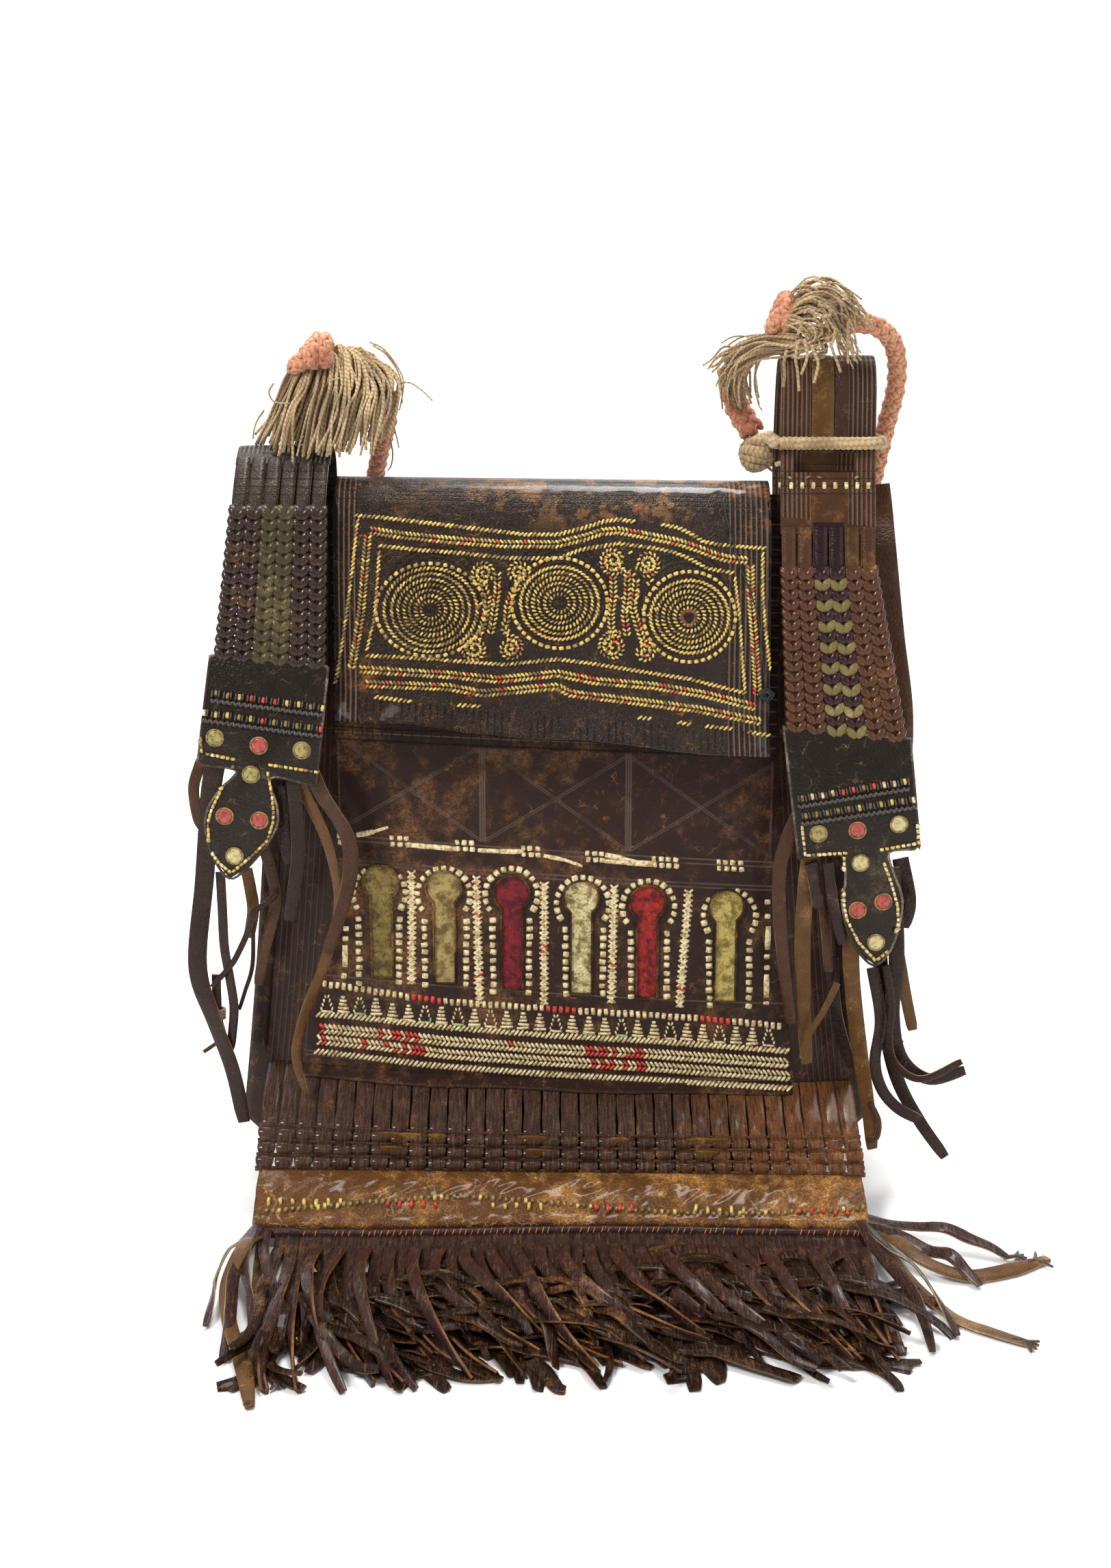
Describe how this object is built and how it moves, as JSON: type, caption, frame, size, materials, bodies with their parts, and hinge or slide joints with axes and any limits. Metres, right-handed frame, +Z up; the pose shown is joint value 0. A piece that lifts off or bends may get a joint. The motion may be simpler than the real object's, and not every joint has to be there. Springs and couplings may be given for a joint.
{
  "type": "leather shoulder bag",
  "caption": "Flat leather pouch with a stitched flap, keyhole openwork front, woven apron with a fringe, two plaited hangers with tongued plates, and a carrying cord.",
  "frame": {"origin": "centre of the flat face of the pouch's base, where the bag stands on the floor", "axes": "+Z up the standing bag, -Y out of the worked front, X across the front with the bigger tassel knot at +X"},
  "size_m": [0.5146, 0.3688, 0.5454],
  "materials": {
    "dark_leather": "worn, near-black, tooled",
    "brown_leather": "dark brown, rubbed to orange at the edges",
    "panel_leather": "dark brown, matt, tooled",
    "plum_leather": "plum brown, smooth and glossy",
    "seam_leather": "gold brown, crackled",
    "tan_thongs": "tan, worn",
    "olive_hide": "dyed olive, fibrous",
    "gold_hide": "dyed gold, fibrous",
    "red_hide": "dyed red, fibrous",
    "cream_hide": "pale cream, crackled",
    "salmon_cord": "braided, faded salmon",
    "undyed_cord": "twisted, undyed",
    "black_thread": "thin twisted thread"
  },
  "bodies": {
    "bag": {"back_panel": "panel_leather", "back_strap_right": "brown_leather", "carrying_cord": "salmon_cord", "corner_thong_left_1": "tan_thongs", "corner_thong_left_2": "tan_thongs", "corner_thong_right_1": "tan_thongs", "corner_thong_right_2": "tan_thongs", "fringe": "plum_leather", "front_panel": "panel_leather", "gusset": "brown_leather", "hanger_strap_left": "dark_leather", "hanger_strap_right": "brown_leather", "keyhole_inlay_1": "olive_hide", "keyhole_inlay_2": "gold_hide", "keyhole_inlay_3": "red_hide", "keyhole_inlay_4": "cream_hide", "keyhole_inlay_5": "red_hide", "keyhole_inlay_6": "olive_hide", "keyhole_panel": "panel_leather", "knot_limb": "salmon_cord", "plait_left_1": "brown_leather", "plait_left_2": "brown_leather", "plait_left_3": "olive_hide", "plait_left_4": "olive_hide", "plait_left_5": "brown_leather", "plait_left_6": "brown_leather", "plait_right_1": "brown_leather", "plait_right_2": "brown_leather", "plait_right_3": "olive_hide", "plait_right_4": "olive_hide", "plait_right_5": "brown_leather", "plait_right_6": "brown_leather", "plate_backing_left": "red_hide", "plate_backing_right": "red_hide", "plate_left": "dark_leather", "plate_right": "dark_leather", "seam_band": "seam_leather", "seam_piping": "plum_leather", "tassel_left": "undyed_cord", "tassel_right": "undyed_cord", "thong_left_1": "brown_leather", "thong_left_2": "tan_thongs", "thong_left_3": "plum_leather", "thong_right_1": "brown_leather", "thong_right_2": "brown_leather", "thong_right_3": "brown_leather", "thong_right_4": "plum_leather", "thong_right_5": "tan_thongs", "tie_cord": "undyed_cord", "tie_knot": "undyed_cord", "under_flap_strip": "dark_leather", "woven_band": "plum_leather"},
    "flap": {"flap": "dark_leather", "black_thread": "black_thread"}
  },
  "joints": [
    {"name": "flap_hinge", "type": "hinge", "parent": "bag", "child": "flap", "pos_m": [0, 0.0118, 0.4316], "axis": [-1, 0, 0], "range_deg": [0, 55]}
  ]
}
